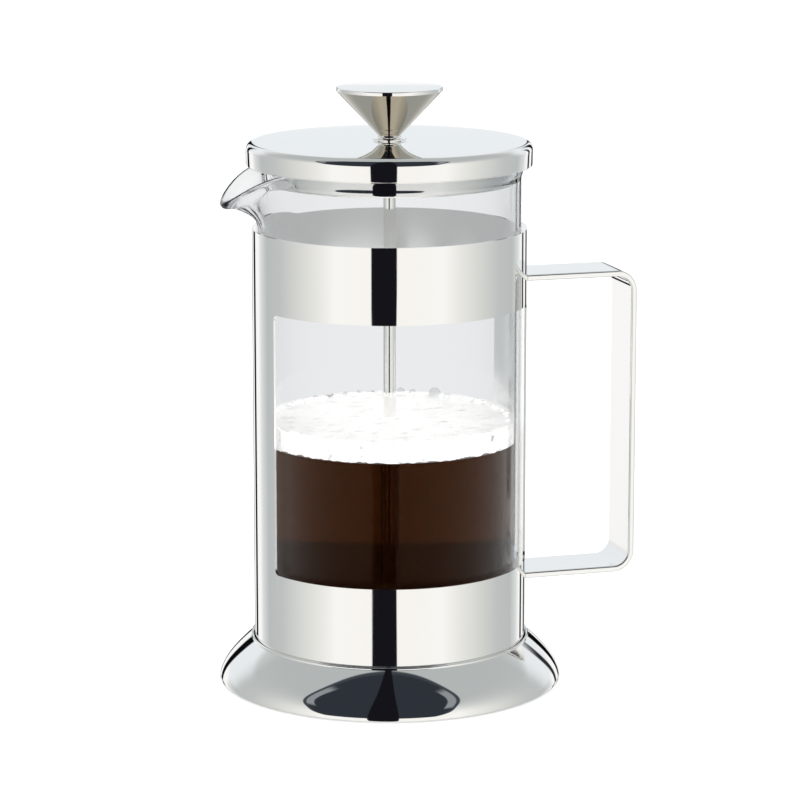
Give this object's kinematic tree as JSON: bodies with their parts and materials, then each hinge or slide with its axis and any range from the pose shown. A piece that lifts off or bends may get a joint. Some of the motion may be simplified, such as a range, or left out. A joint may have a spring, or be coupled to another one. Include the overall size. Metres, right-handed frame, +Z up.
{
  "type": "french press",
  "caption": "Tall coffee press: spouted glass beaker in a polished steel frame with windows, flared foot and flat-bar handle, steel lid, conical plunger knob and spring-edged filter.",
  "frame": {"origin": "centre of the foot, on the surface that the press stands on", "axes": "+Z up along the beaker's axis, +X towards the handle, spout at -X, object symmetric about the XZ plane"},
  "size_m": [0.1582, 0.1284, 0.224],
  "materials": {
    "polished_steel": "mirror-polished stainless steel",
    "satin_steel": "satin stainless steel",
    "filter_mesh": "fine woven stainless mesh",
    "clear_glass": "clear borosilicate glass",
    "black_rubber": "matt anti-slip rubber",
    "grey_silicone": "moulded silicone",
    "coffee": null,
    "coffee_foam": null
  },
  "bodies": {
    "frame": {"frame_sleeve": "polished_steel", "base_skirt": "polished_steel", "base_plate": "satin_steel", "foot_pad": "black_rubber", "beaker_seat": "grey_silicone", "handle": "polished_steel"},
    "beaker": {"glass_beaker": "clear_glass"},
    "lid": {"lid_cover": "polished_steel", "lid_liner": "satin_steel", "rod_bush": "polished_steel", "bush_washer": "satin_steel", "bush_nut": "satin_steel"},
    "plunger": {"knob": "polished_steel", "plunger_rod": "polished_steel", "lock_nut": "satin_steel", "clamp_washer": "satin_steel", "spiral_plate": "satin_steel", "filter_spring": "satin_steel", "filter_mesh": "filter_mesh", "cross_plate": "satin_steel", "cross_plate_hub": "satin_steel"}
  },
  "joints": [
    {"name": "beaker_lift", "type": "slide", "parent": "frame", "child": "beaker", "axis": [0, 0, 1], "range_m": [0, 0.17]},
    {"name": "lid_lift", "type": "slide", "parent": "beaker", "child": "lid", "axis": [0, 0, 1], "range_m": [0, 0.19]},
    {"name": "plunger_slide", "type": "slide", "parent": "lid", "child": "plunger", "axis": [0, 0, 1], "range_m": [0, 0.16]}
  ]
}
